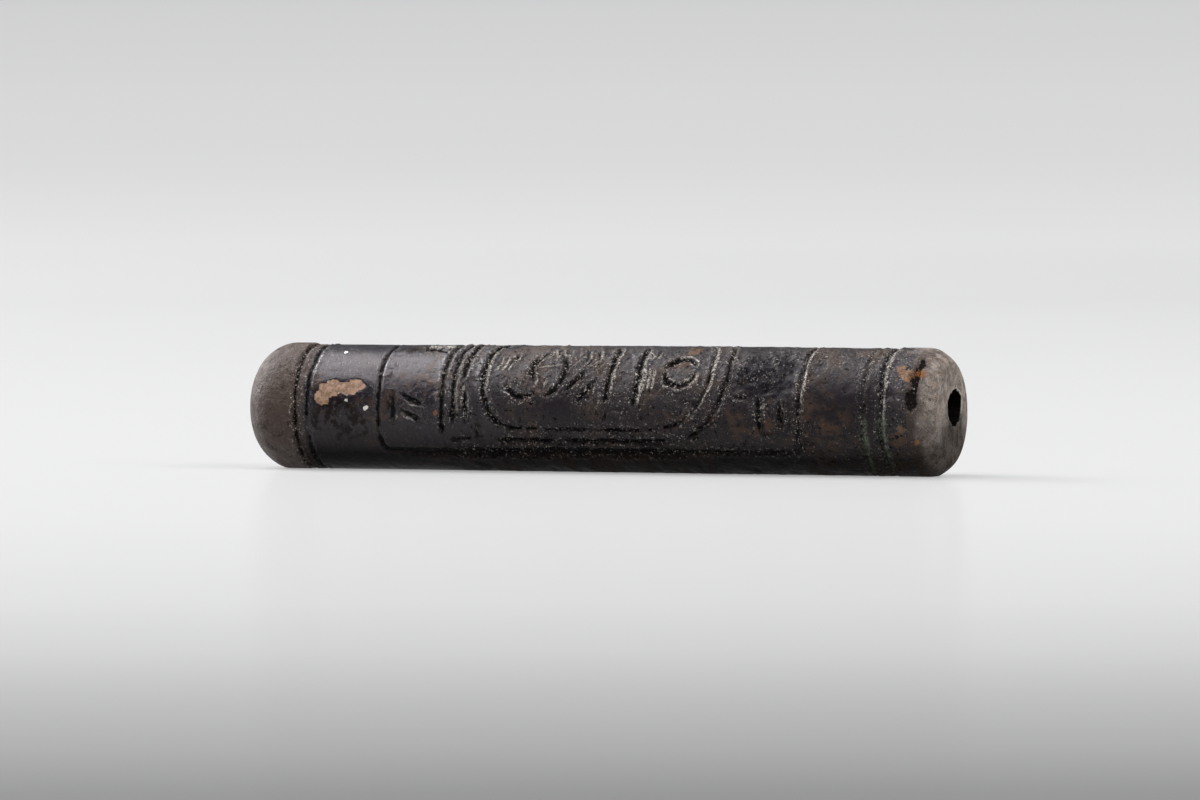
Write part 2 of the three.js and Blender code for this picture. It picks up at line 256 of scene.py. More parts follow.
# %% A helper that cuts one line
def gouge(path, width, depth, closed=False, tip=0.5, raggedness=0.3, steep_burr=0.12):
    """Cuts a line through (x, angle) places. Width and depth are in millimetres.

    Leaning is positive right of the line or below it, and negative on its other side.
    """
    path = [(x, math.radians(angle) * BODY_RADIUS) for x, angle in path]
    if closed:
        path = path + path[:1]
    xs, rounds = np.array(path).T
    reach = width + 0.6
    near = (grid_x > xs.min() - reach) & (grid_x < xs.max() + reach)
    near &= (grid_round > rounds.min() - reach) & (grid_round < rounds.max() + reach)
    px, pr, rag = grid_x[near], grid_round[near], ragged[near]
    away = np.full(px.shape, 1e9)
    run = np.zeros(px.shape)
    leaning = np.zeros(px.shape)
    walked = 0.0
    for (ax, ar), (bx, br) in zip(path, path[1:]):
        length = math.hypot(bx - ax, br - ar)
        share = ((px - ax) * (bx - ax) + (pr - ar) * (br - ar)) / length**2
        share = np.clip(share, 0, 1)
        right, down = px - ax - share * (bx - ax), pr - ar - share * (br - ar)
        distance = np.hypot(right, down)
        closer = distance < away
        away[closer] = distance[closer]
        run[closer] = walked + share[closer] * length
        leaning[closer] = ((right + 0.7 * down) / (distance + 0.01))[closer]
        walked += length
    ends = np.ones(px.shape) if closed else np.clip(np.minimum(run, walked - run) / tip, 0, 1)
    size = 0.35 + 0.65 * np.sqrt(ends)
    half = width / 2 * size * (1 + raggedness * rag) * (1 + 0.42 * np.clip(leaning, -1, 1))
    sunk = depth * size * np.clip(1.08 - away / half, 0, 1) ** 0.8
    carved[near] = np.maximum(carved[near], sunk)
    # Painted shade: the dirt mask stays dark at the steep wall and fades on the gentle one.
    steep_wall_shade = 1 - 0.75 * np.clip(leaning * away / half * 1.4, 0, 1)
    dirt_and_shade[near] = np.maximum(dirt_and_shade[near], sunk * steep_wall_shade)
    beside = np.exp(-(((away - half * 1.05) / BURR_WIDTH) ** 2)) * size
    # The burr stays mostly on the gentle side, where its pale crust is also a painted highlight.
    beside = beside * np.clip(0.5 + 0.6 * leaning, steep_burr, 1)
    lip[near] = np.maximum(lip[near], beside)
    outside = np.clip(away - half, 0, None)
    around = np.exp(-((outside / GRIT_WIDTH) ** 2)) * size * depth / 0.17
    halo[near] = np.maximum(halo[near], around)


# %% [markdown]
# Two turned rings stand near each end. A lathe makes them true, but these were cut by hand
# against a turning blank, so they lean a little and one of each pair is deeper.


# %% Cut the rings
def ring_line(x, lean, phase):
    return [(x + lean * math.sin(math.radians(a + phase)), a) for a in range(-60, 336, 6)]


gouge(ring_line(-19.62, 0.05, 30), 0.4, 0.14)
gouge(ring_line(-18.74, 0.04, 140), 0.42, 0.15)
gouge(ring_line(18.7, 0.06, 80), 0.34, 0.08)
gouge(ring_line(19.87, 0.07, -20), 0.46, 0.15)
print("deepest ring:", round(float(carved.max()), 2), "mm")

# %% [markdown]
# The front panel has a frame with round corners, and the back has another. The front one's
# foot line climbs slightly and was cut twice along the middle, as on the real seal, so it is
# wide there. What the frame holds is placed by shares of the panel's length, as in the solid
# model.

# %% Sizes of the panel
PANEL_START = -HALF_LENGTH + 9.52
PANEL_FINISH = HALF_LENGTH - 8.82


def panel_x(share):
    return PANEL_START + share * (PANEL_FINISH - PANEL_START)


def frame_line(top, foot_near, foot_far, corner=0.7):
    turn = math.degrees(corner / BODY_RADIUS)
    down = math.copysign(turn, foot_near - top)
    near, far = PANEL_START + corner, PANEL_FINISH - corner
    middles = [
        (near, top + down, 180),
        (far, top + down, 270),
        (far, foot_far - down, 0),
        (near, foot_near - down, 90),
    ]
    path = []
    for x, angle, first in middles:
        for step in range(5):
            bend = math.radians(first + 22.5 * step)
            path.append((x + corner * math.cos(bend), angle + down * math.sin(bend)))
    return path


# %% Cut the two frames
gouge(frame_line(-37, 130, 127), 0.38, 0.15, closed=True)
gouge(frame_line(305, 212, 212), 0.38, 0.15, closed=True)
# The foot line's second, wider cut
gouge([(-12.8, 131), (-6, 130.6), (0, 128.6), (8, 128)], 0.8, 0.21, tip=2)
print("the front panel is", round(PANEL_FINISH - PANEL_START, 1), "mm long")

# %% [markdown]
# A long oval of two lines fills the middle of the panel. An even ellipse would look drawn by a
# machine and too pointed, so the ends are fuller than a circle's, and the two ends differ. The
# outer line is open towards the upright strokes, and the inner one is cut deeper at its near
# end.


# %% Cut the oval
def oval_end(middle, reach, half_span, first):
    path = []
    for step in range(19):
        bend = math.radians(first + 10 * step)
        across, down = math.cos(bend), math.sin(bend)
        across = math.copysign(abs(across) ** (2 / 2.3), across)
        down = math.copysign(abs(down) ** (2 / 2.3), down)
        path.append((panel_x(middle + reach * across), 46 + half_span * down))
    return path


inner_oval = oval_end(0.647, 0.14, 60, -90) + oval_end(0.334, 0.088, 60, 90)
outer_oval = oval_end(0.678, 0.15, 70.5, -90)
outer_oval = [(panel_x(0.285), -24.5)] + outer_oval + [(panel_x(0.285), 117.5)]
gouge(inner_oval, 0.3, 0.11, closed=True, raggedness=0.5)
gouge(outer_oval, 0.38, 0.15, raggedness=0.4)
near_end = [(x, a) for x, a in oval_end(0.334, 0.088, 60, 90) if x < panel_x(0.33)]
gouge(near_end, 0.46, 0.18, tip=1.5, raggedness=0.5)
long_way = max(x for x, _ in inner_oval) - min(x for x, _ in inner_oval)
print("the inner oval is", round(long_way, 1), "mm long")

# %% [markdown]
# The rest of the panel holds rows of shallow strokes: single uprights, slanting strokes, short
# dashes and open arcs. They are a pattern and nothing more. A few short helpers return the
# places of one stroke or of a row, so each line below reads as one move of the graver.


# %% Helpers for strokes
def upright(share, top, foot, lean=0.0):
    """A stroke from one angle down to another. Lean moves its top along the panel."""
    return [(panel_x(share + lean), top), (panel_x(share), foot)]


def dash(start, finish, angle):
    return [(panel_x(start), angle), (panel_x(finish), angle)]


def row(count, first, step, top, foot, lean=0.0, climb=0.0):
    """Equal strokes side by side, each one set climb degrees higher than the last."""
    return [
        upright(first + step * i, top - climb * i, foot - climb * i, lean)
        for i in range(count)
    ]


def arc(share, angle, radius, start_turn, finish_turn):
    turns = np.radians(np.linspace(start_turn, finish_turn, 12))
    round_degrees = math.degrees(radius / BODY_RADIUS)
    return [
        (panel_x(share) + radius * math.cos(t), angle + round_degrees * math.sin(t))
        for t in turns
    ]


# %% Cut the fine strokes
fine_strokes = [
    *row(3, 0.036, 0.036, -26, -8, 0.008),
    dash(0.17, 0.224, 117),
    upright(0.24, 107, 114, -0.008),
    *row(3, 0.34, 0.05, -4, 14, 0.014),
    *row(2, 0.487, 0.026, 20, 42, -0.01),
    dash(0.567, 0.597, 89),
    *row(3, 0.857, 0.033, 28, 42, 0.012),
    *row(3, 0.868, 0.033, 50, 64, -0.012),
    dash(0.845, 0.89, 77),
    dash(0.924, 0.952, 108),
    *row(3, 0.87, 0.036, -26, -6, 0.008),
]
for stroke in fine_strokes:
    gouge(stroke, 0.28, 0.1, raggedness=0.4)
print(len(fine_strokes), "fine strokes")

# %% Cut the bold strokes
bold_strokes = [
    upright(0.036, 74, 103),
    *row(2, 0.112, 0, 90, 102, -0.056, 14),
    upright(0.152, -28, 112),
    upright(0.179, -28, 101),
    upright(0.202, -28, 62, 0.002),
    upright(0.209, 72, 102),
    upright(0.304, 30, 46, 0.014),
    arc(0.346, 62, 1.1, 180, 40),
    arc(0.424, 48, 1.8, 228, 145),
    arc(0.364, 50, 2.15, -42, 62),
    *row(2, 0.446, 0.03, 50, 72, 0.046, -11),
    *row(2, 0.547, 0.067, 14, 86, 0.002),
    upright(0.912, 76, 105, -0.004),
    upright(0.964, 80, 106, -0.01),
]
for stroke in bold_strokes:
    gouge(stroke, 0.44, 0.17, raggedness=0.45)
round_arcs = [arc(0.713, 50, 1.05, 12, 168), arc(0.713, 50, 1.05, 192, 348)]
for stroke in round_arcs:
    gouge(stroke, 0.5, 0.18, raggedness=0.35, steep_burr=0.8)
print(len(bold_strokes) + len(round_arcs), "bold strokes")

# %% Cut the hair-thin strokes between the bold ones
hair_strokes = [
    *row(5, 0.3, 0.022, 58, 70, 0.012),
    *row(4, 0.405, 0.02, 20, 36, -0.012),
    *row(4, 0.36, 0.02, 26, 38, 0.014),
    *row(3, 0.37, 0.02, 42, 47, 0.03, 1),
    *row(4, 0.452, 0.018, 33, 47, 0.022, -2),
    *row(5, 0.455, 0.02, 62, 76, 0.014, -5),
    *row(3, 0.272, 0.014, 34, 52, 0.01),
    *row(3, 0.625, 0.011, 24, 38, 0.004),
    *row(3, 0.627, 0.011, 47, 70, -0.002),
    *row(6, 0.852, 0.021, 18, 26, 0.016),
    *row(3, 0.88, 0.034, 46, 58, -0.014),
    *row(3, 0.16, 0.02, 66, 74, 0.004),
    *row(3, 0.838, 0.013, 34, 62, -0.012),
    dash(0.57, 0.612, 88),
]
for stroke in hair_strokes:
    gouge(stroke, 0.2, 0.07, tip=0.3, raggedness=0.6)
print(len(hair_strokes), "hair-thin strokes")

# %% [markdown]
# The photograph doesn't show the back, but a seal is rolled over clay and is cut all round. It
# gets its frame and two plain rows of strokes, in keeping with the front and quieter than it.

# %% Cut the plainer strokes of the back
back_strokes = row(9, 0.085, 0.1, 294, 270, 0.016) + row(6, 0.14, 0.14, 252, 226, -0.012)
for stroke in back_strokes:
    gouge(stroke, 0.44, 0.16, raggedness=0.45)
print(len(back_strokes), "strokes on the back")

# %% [markdown]
# The lines low on the front were cut in short jabs, and the graver skipped between them. So a
# coarse unevenness makes these lines now deep, now shallow.

# %% Break up the low lines
low = np.clip((column_angle - 92) / 10, 0, 1) * np.clip((125 - column_angle) / 4, 0, 1)
jabs = np.clip(1 + 1.3 * low * unevenness(side_points, 0.5, 37), 0.25, 1.6)
carved *= jabs
dirt_and_shade *= jabs
print("deepest jab:", round(float(carved.max()), 2), "mm")

# %% [markdown]
# Wear comes next. Some of it has a place of its own on the real seal: a flake that lifts off
# the top left of the panel with a crack under it, small losses, nicks at the rim of the
# chamfered end, a crumbled field right of the oval, a few pits under the uprights, and a tan
# patch of three lobes where the glaze has come off the stone. A soft spot with a ragged outline
# does for all of them, and the same spots colour the finish later.


# %% A helper for a spot with a ragged outline
def spot(x, angle, length, breadth, seed, softness=0.35, raggedness=0.45, where=side_points):
    """1 inside an oval of that size round a place on the side, falling to 0 outside."""
    across = where[..., 0] - x
    around = (np.radians(column_angle)[None, :] - math.radians(angle)) * BODY_RADIUS
    edge = np.hypot(across / (length / 2), around / (breadth / 2))
    edge = edge + raggedness * many_sizes(where, min(length, breadth) * 0.45, seed)
    return np.clip((1 - edge) / softness + 0.5, 0, 1)


# %% The nicks, the flake and small losses
nick = spot(22.0, 76, 0.7, 1.7, 20, where=tube)
nick = np.maximum(nick, spot(22.1, 57, 0.6, 1.9, 29, where=tube))
nick = np.maximum(nick, spot(22.25, 38, 0.46, 1.2, 28, where=tube))
gouge([(-11.75, 8), (-11.4, 21), (-10.6, 22), (-9.75, 28)], 0.32, 0.16)
flake = spot(-10.6, 13, 2.1, 0.9, 21, softness=0.2) * np.clip(column_angle / 21, 0, 1)
losses = -0.09 * flake
losses += 0.08 * spot(11.8, 13, 2.8, 1.4, 22)
losses += 0.1 * spot(6.0, 43, 0.75, 0.7, 23)
losses += 0.1 * spot(17.85, 240, 1.5, 0.9, 24)
print("the flake stands", round(float(-losses.min()), 2), "mm proud")

# %% The tan patch, the crumbled field and the pits
bare = spot(-16.9, 71.5, 2.4, 1.0, 25, softness=0.15, raggedness=0.7)
bare = np.maximum(bare, spot(-15.6, 69, 1.5, 0.95, 43, softness=0.15, raggedness=0.7))
bare = np.maximum(bare, spot(-17.7, 78, 1.1, 1.0, 44, softness=0.15, raggedness=0.6))
losses += 0.035 * bare
crumbled = spot(11.9, 46, 4.8, 4.6, 26, softness=0.6)
pitted = spot(-7.1, 111, 1.1, 0.9, 27)
print("tan patch covers", int((bare > 0.5).sum()), "points")

# %% [markdown]
# The whole skin also has slow swells, small dents, scattered pits and, beside the cuts, a
# crust that built up in the ground. Next to the rounded end the glaze is still whole and
# smooth, and everywhere else it is rougher. The crumbled field broke into small facets: the
# absolute value of a smooth unevenness has sharp valleys, which look like them.

# %% Swells, pits and crust of the side
whole_glaze = 1 / (1 + np.exp((side_points[..., 0] + 9.5) / 0.6))
whole_glaze *= 1 / (1 + np.exp((-19.0 - side_points[..., 0]) / 0.15))
grain_fine = unevenness(side_points, 0.24, 30)
grain_mid = unevenness(side_points, 0.55, 31)
dents = unevenness(side_points, 1.0, 35)
pits = np.clip(unevenness(side_points, 0.6, 32) - 0.45, 0, 1) * 0.2
rough = 0.3 + 0.7 * (1 - whole_glaze)
facets = np.abs(unevenness(side_points, 0.85, 38))
facets = facets + 0.5 * np.abs(unevenness(side_points, 0.4, 39))
beside_cuts = np.clip(halo * 1.1, 0, 1)
swell = 0.03 * unevenness(side_points, 5.0, 33) + 0.016 * unevenness(side_points, 1.6, 34)
crust = lip * np.clip(0.45 + 0.9 * ragged, 0, 1.2)
side_height = (
    swell
    - carved * (1 + 0.25 * grain_mid)
    + 0.08 * crust
    + rough * (0.012 + 0.014 * beside_cuts) * grain_fine
    + rough * (0.022 * grain_mid + 0.022 * dents)
    - rough * pits
    - losses
    - crumbled * (0.01 + 0.24 * facets)
    - pitted * np.abs(grain_mid) * 0.12
)
print("surface moves between", round(float(side_height.min()), 2), "and",
      round(float(side_height.max()), 2), "mm")

# %% [markdown]
# The ends aren't carved, only worn. They have swells and pits of their own, which give way to
# those of the side over its first and last ten rings, so no seam shows. Inside the hole, which
# a drill left fairly even, the swells and pits are half as deep.

# %% Height of every ring
NICK_DEPTH = 0.2
height = 0.028 * many_sizes(tube, 1.9, 40) + 0.018 * many_sizes(tube, 0.6, 41)
height -= 0.14 * np.clip(unevenness(tube, 0.9, 42) - 0.45, 0, 1)
height -= NICK_DEPTH * nick
height[outer_rings:] *= 0.5
height[outer_rings - 2 : outer_rings] *= 0.8
ease = np.clip(np.arange(len(side_x)) / 10, 0, 1)[:, None]
ease = ease * ease[::-1]
part_of_side = slice(first_side_ring, first_side_ring + len(side_x))
height[part_of_side] = height[part_of_side] * (1 - ease) + side_height * ease
height[part_of_side] -= (1 - ease) * losses + ease * NICK_DEPTH * nick[part_of_side]
print("deepest place on the seal:", round(float(height.min()), 2), "mm")

# %% [markdown]
# Each point moves along its own normal. The normals come from the grid itself: the cross
# product of the step along the seal and the step round it. The mouth in the chamfered end is
# chipped all round, so its rings also move towards and away from the hole. Afterwards every
# point below the floor is lifted to it, which makes the narrow flat that the seal lies on.

# %% Move the points
step_round = np.roll(tube, -1, 1) - np.roll(tube, 1, 1)
step_along = np.roll(tube, -1, 0) - np.roll(tube, 1, 0)
normals = np.cross(step_along, step_round)
normals /= np.linalg.norm(normals, axis=-1, keepdims=True)
outward = np.sign((normals[part_of_side] * (side_points - [0, 0, AXIS_HEIGHT]))[..., 1:].sum())
points = tube + outward * normals * height[..., None]
at_mouth = np.zeros(len(tube))
at_mouth[outer_rings - 4 : outer_rings] = 0.4, 0.8, 1, 1
spread_out = 0.5 * unevenness(tube, 0.5, 43) + 0.6 * unevenness(tube, 0.9, 44)
spread_out += 0.45 * unevenness(tube, 0.25, 76)
bore_axis = ring(HALF_LENGTH, 0, BORE_AT_CHAMFERED_END)
away_from_axis = (tube - bore_axis) * [0, 1, 1]
away_from_axis /= np.linalg.norm(away_from_axis, axis=-1, keepdims=True)
points += away_from_axis * (0.26 * at_mouth[:, None] * spread_out)[..., None]
points[..., 2] = np.maximum(points[..., 2], 0)
print("outward sign", outward, "and lowest point", float(points[..., 2].min()))

# %% [markdown]
# Four neighbours make one face. Each ring joins the next, and the last ring inside the hole
# joins the first one at the rounded mouth, so the skin closes on itself and needs no caps. The
# mesh then takes the place of the solid seal.

# %% Make the mesh
rings_count, columns_count = points.shape[:2]
ids = np.arange(rings_count * columns_count).reshape(rings_count, columns_count)
after = np.roll(ids, -1, 0)
quads = np.stack([ids, np.roll(ids, -1, 1), np.roll(after, -1, 1), after], -1).reshape(-1, 4)
if outward > 0:
    quads = quads[:, ::-1]
seal_mesh = bpy.data.meshes.new("glazed_seal")
seal_mesh.from_pydata((points.reshape(-1, 3) / 1000).tolist(), [], quads.tolist())
seal_mesh.polygons.foreach_set("use_smooth", np.ones(len(quads), bool))
seal_mesh.update()
seal = bpy.data.objects.new("glazed_seal", seal_mesh)
bpy.context.scene.collection.objects.link(seal)
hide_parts("cylinder_seal")
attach(seal, "root")
print(len(quads) * 2, "triangles")

# %% [markdown]
# The finish has to know where the cuts, the crust and the bare patch are. Measuring them again
# in shader nodes would be slow and would never match, so the numbers that moved the points are
# stored on the mesh as named values, one for each point.


# %% Helpers that store a mask
def store_all(name, values):
    """Keeps one value for each point of the mesh."""
    layer = seal_mesh.attributes.new(name, "FLOAT", "POINT")
    full = np.broadcast_to(values, (rings_count, columns_count))
    layer.data.foreach_set("value", full.ravel())


def store(name, values, elsewhere=0.0):
    """Keeps side values on the mesh, with one value for the ends and the hole."""
    full = np.full((rings_count, columns_count), elsewhere, float)
    full[part_of_side] = values
    store_all(name, full)


def splash(*spots):
    return np.clip(sum(spots), 0, 1)


# %% Store where dirt with painted shade, burrs, grit and bare stone are
side_at = side_points[..., 0]
keeps_dirt_and_shade = np.interp(side_at, [-20.5, -18, -15, -13, 7, 9.5, 13, 14, 17, 19, 20.5],
                       [1, 1, 0.9, 1, 1, 1, 0.9, 0.6, 0.35, 0.55, 0.8])
store("cut_dirt_and_shade", np.clip(dirt_and_shade / 0.15, 0, 1) * keeps_dirt_and_shade)
store("lip", lip)
store("halo", np.clip(halo, 0, 1) * (1 - 0.85 * whole_glaze))
store("bare", bare)
store("crumbled", crumbled)
store("whole_glaze", whole_glaze)
print("share of the side with whole glaze:", round(float((whole_glaze > 0.5).mean()), 2))

# %% [markdown]
# Stains have places too: brown ones along the front and right of the panel, and green ones low
# in the two ring lines at the chamfered end. A stain has no edge of its own, so its spot is
# soft, and the shader breaks it up later.

# %% Store the stains
rust = splash(
    spot(16.3, 107, 4.5, 2.8, 50, 0.9, 0.9),
    spot(12.7, 94, 1.3, 1.6, 53, 0.9, 0.6),
    spot(-18.1, 63, 0.7, 1.4, 54, 0.9, 0.6),
    spot(-10.8, 61, 1.5, 0.7, 55, 0.9),
    spot(-12.8, 75, 2.0, 2.4, 56, 0.9, 0.9) * 0.6,
    spot(5.5, 97, 3.0, 1.2, 57, 0.9, 0.9) * 0.8,
    spot(-15.0, 100, 4.0, 2.4, 58, 0.9, 0.9) * 0.6,
    spot(11.5, 100, 5.0, 2.0, 59, 0.9, 0.9) * 0.7,
)
store("rust", rust)
edge_only = np.clip(lip * 1.3 + carved * 2, 0, 1)
green = edge_only * splash(
    spot(18.75, 124, 1.2, 4.0, 60, 0.6),
    spot(19.9, 124, 1.3, 5.0, 61, 0.6),
)
store("green", green)
print("points with rust:", int((rust > 0.5).sum()), "and with green:", int((green > 0.3).sum()))

# %% [markdown]
# Pale crust sits on the burrs, mostly on the gentle side of each cut, where its pale colour is
# also a painted highlight. It is strong in a few places, which are listed, and comes and goes
# elsewhere. It is weaker on top, low on the front, at three of the four ring lines and where the
# glaze is whole.

# %% Store the pale crust and its painted highlights
crust_and_highlight_spots = splash(
    spot(2.2, 48, 0.9, 5.0, 64, 0.9),
    spot(4.0, 48, 0.9, 5.0, 65, 0.9),
    spot(6.9, 46, 3.4, 3.4, 66, 0.9),
    spot(19.95, 60, 1.0, 11.0, 67, 0.9),
    spot(14.6, 46, 1.0, 5.0, 51, 0.9),
    spot(8.3, 44, 1.0, 4.0, 52, 0.9),
    spot(-5.6, 48, 1.6, 5.0, 68, 0.9),
    spot(9.0, 45, 1.6, 5.0, 69, 0.9),
    spot(-11.2, 94, 3.0, 1.6, 70, 0.6),
)
here_and_there = np.clip(0.65 + 0.8 * unevenness(side_points, 1.7, 71), 0.1, 1)
from_above = np.interp(column_angle, [-45, 25, 65, 95, 180], [0.65, 0.65, 0.9, 0.4, 0.3])
from_rings = np.interp(side_at, [-20, -18.3, -17.5, 18.3, 18.5, 19.1, 19.3],
                       [0.5, 0.5, 1, 1, 0.5, 0.5, 1])
here_and_there = here_and_there * from_above * from_rings * (1 - 0.4 * whole_glaze)
crust_and_highlight = lip * np.maximum(here_and_there, crust_and_highlight_spots) * (1 - 0.4 * crumbled)
crust_and_highlight = np.maximum(crust_and_highlight, flake)
store("crust_and_highlight", crust_and_highlight)
print("points with crust:", int((crust_and_highlight > 0.5).sum()))

# %% [markdown]
# The last masks are broad ones: how brown, grimy, grainy and pitted the skin is, how much
# painted shade darkens the underside, and which points belong to an end, a mouth, a nick or the
# hole. A short list of values along the seal is enough for a change that has no simple rule.

# %% Store where the skin is brown or grimy
browner = np.interp(side_at, [-19.3, -18.7, -10, -8, 8.5, 10, 13.5, 15, 19, 20.5],
                    [0.3, -0.12, -0.08, 0.0, -0.02, -0.1, -0.1, 0.0, 0.02, -0.05])
browner = browner + 0.08 * lip + 0.05 * unevenness(side_points, 2.6, 36)
browner = browner - 0.08 * np.clip(1 - np.abs(column_angle - 100) / 40, 0, 1)
store("browner", browner, 0.3)
grime = splash(
    spot(-16.9, 97, 3.2, 2.2, 45, 0.7, 0.9),
    spot(-15.4, 103, 2.4, 2.4, 46, 0.9, 0.9),
    spot(-16.3, 118, 1.4, 0.7, 47, 0.5, 0.7),
    spot(-11.3, 22, 3.6, 1.0, 72, 0.7, 0.6),
    spot(-7.15, 109, 0.9, 1.3, 73, 0.5, 0.9),
    spot(-12.95, 88, 0.4, 1.9, 48, 0.9, 0.7),
    spot(-13.2, 53, 0.5, 1.2, 49, 0.9, 0.7),
)
store("grime", grime)
print("points with grime:", int((grime > 0.5).sum()))

# %% Store where it is grainy, pitted or darkened below by painted shade
grainy = np.clip(0.3 + 0.8 * unevenness(side_points, 3.2, 74) + 0.7 * beside_cuts, 0, 1)
grainy = grainy * (1 - 0.8 * whole_glaze)
at_ends = np.clip(np.maximum(-19.2 - side_at, side_at - 20.4) / 0.8, 0, 1)
store("grainy", grainy + (0.8 - grainy) * at_ends, 0.8)
store("pitting", np.interp(side_at, [-19.3, -18.7, -10, -8], [0.1, 0.25, 0.35, 1.0]), 0.1)
from_below = 1 - np.abs(column_angle - 180) / 90
# Painted shade: the underside is darkened, most of all straight below.
underside_shade = np.clip((from_below + 0.25) / 0.75, 0, 1) ** 1.4
on_rounded_cap = np.clip((-19.3 - tube[..., 0]) / 0.5, 0, 1)
store_all("underside_shade", underside_shade * (1 - 0.6 * on_rounded_cap))
store_all("duller", np.interp(tube[..., 0], [-9.5, -7, -5, 3, 13.5, 19.5, 20.5],
                              [0, 0.3, 0.75, 0.85, 1, 1, 0.7]))
print("columns in the dark below:", int((underside_shade > 0.5).sum()))

# %% Store what belongs to an end, a mouth, a nick or the hole
to_rounded, to_chamfered = tube[..., 0] + HALF_LENGTH, HALF_LENGTH - tube[..., 0]
pale_rounded = 0.4 * np.clip(2.2 - to_rounded, 0, 1)
whole_ends = np.maximum(pale_rounded, np.clip((1.5 - to_chamfered) / 1.1, 0, 1))
whole_ends = np.maximum(whole_ends, 0.65 * spot(22.0, 0, 2.4, 4.2, 75, 0.9, 0.9, where=tube))
whole_ends[outer_rings:] = 0
store_all("end", whole_ends)
store_all("cap", on_rounded_cap)
store_all("mouth", at_mouth[:, None])
store_all("nick", nick)
store_all("hole", (np.arange(rings_count) >= outer_rings - 2)[:, None] * 1.0)
print("masks:", [a.name for a in seal_mesh.attributes if a.data_type == "FLOAT"])

# %% [markdown]
# One shader makes the whole skin. Its colour is built in layers, from the glaze up: a mottled
# brown-black glaze with light and dark grains, the paler skin of the ends, stains, dirt with
# painted shade in the cuts, pale crust with painted highlights and grit beside them, green in
# the ring lines, the tan stone where the glaze is gone, single flecks, and painted shade on the
# underside. An image could be painted instead, but noise and masks stay sharp from every side.
# Short helpers keep the node tree readable.

# %% Start the finish
glaze = bpy.data.materials.new("worn_dark_glaze")
glaze.use_nodes = True
tree = glaze.node_tree
tree.nodes.clear()


def node(kind, **values):
    made = tree.nodes.new(kind)
    for name, value in values.items():
        setattr(made, name, value)
    return made


def plug(socket, value):
    """Links a socket's source, or sets a plain number or colour."""
    if isinstance(value, bpy.types.NodeSocket):
        tree.links.new(value, socket)
    else:
        socket.default_value = value


def fill(made, **values):
    """Fills a node's sockets. An underscore stands for a space in a socket's name."""
    for name, value in values.items():
        plug(made.inputs[name.replace("_", " ")], value)


def calc(operation, a, b=0.0, clamp=False):
    made = node("ShaderNodeMath", operation=operation, use_clamp=clamp)
    plug(made.inputs[0], a)
    plug(made.inputs[1], b)
    return made.outputs[0]


def vector_calc(operation, a, b=None):
    made = node("ShaderNodeVectorMath", operation=operation)
    plug(made.inputs[0], a)
    if b is not None:
        plug(made.inputs[1], b)
    return made.outputs["Value"]


# %% More helpers for the finish
coordinates = node("ShaderNodeTexCoord").outputs["Object"]


def mottle(size_mm, detail=3.0, roughness=0.55, distortion=0.0):
    """Blender's noise, about size_mm from one bump to the next, from 0 to 1."""
    made = node("ShaderNodeTexNoise")
    fill(made, Vector=coordinates, Scale=1000 / size_mm, Detail=detail, Roughness=roughness,
         Distortion=distortion)
    return made.outputs["Fac"]


def mask(name):
    made = node("ShaderNodeAttribute")
    made.attribute_name = name
    return made.outputs["Fac"]


def between(value, low, high):
    """0 below low, 1 above high and smooth between."""
    made = node("ShaderNodeMapRange", interpolation_type="SMOOTHSTEP")
    fill(made, Value=value, From_Min=low, From_Max=high)
    return made.outputs["Result"]


def blend(share, under, over):
    """Lays one colour over another where share is 1."""
    made = node("ShaderNodeMix", data_type="RGBA")
    fill(made, Factor=share, A=under, B=over)
    return made.outputs["Result"]


def colour(*red_green_blue):
    return (*red_green_blue, 1.0)


def share_of(value, part):
    return calc("MULTIPLY", value, part)


def gather(operation, first, *others):
    """Adds, subtracts or compares several values one after the other."""
    for other in others:
        first = calc(operation, first, other)
    return first


# %% [markdown]
# The glaze was a deep, slightly violet black, and it has worn to brown in cloudy patches. Two
# noises of different size, added up, give such clouds with smaller ones in them. Fine light
# and dark grains lie over both.

# %% The glaze and its mottling
VIOLET_BLACK = colour(0.0105, 0.0087, 0.0125)
WORN_BROWN = colour(0.046, 0.03, 0.022)
LIGHT_GRAIN = colour(0.12, 0.09, 0.072)
PIT_BLACK = colour(0.0035, 0.003, 0.0035)
DULL_FILM = colour(0.012, 0.007, 0.005)
large_patches = share_of(mottle(2.4, 4, 0.65, 0.5), 0.7)
patches = calc("ADD", large_patches, share_of(mottle(0.55, 3, 0.6), 0.3))
worn = between(calc("ADD", patches, mask("browner")), 0.45, 0.6)
skin = blend(worn, VIOLET_BLACK, WORN_BROWN)
light_grains = share_of(between(mottle(0.26, 3, 0.75), 0.53, 0.68), mask("grainy"))
skin = blend(share_of(light_grains, 0.55), skin, LIGHT_GRAIN)
near_cuts = calc("ADD", share_of(mask("cut_dirt_and_shade"), 0.06), share_of(mask("lip"), 0.05))
dark_grains = calc("SUBTRACT", mottle(0.3, 3, 0.75), near_cuts)
dark_grains = share_of(between(dark_grains, 0.43, 0.36), mask("pitting"))
skin = blend(share_of(dark_grains, 0.9), skin, PIT_BLACK)
skin = blend(share_of(mask("duller"), 0.25), skin, DULL_FILM)
print(len(tree.nodes), "nodes in the glaze")

# %% [markdown]
# The glaze on the two ends is worn thin, so they are paler than the side, with brown grains and
# dark pits. The chamfered end has crust round its mouth, and the rounded one is stained. Noise
# is added to the mask before it is sharpened, so the border is ragged.

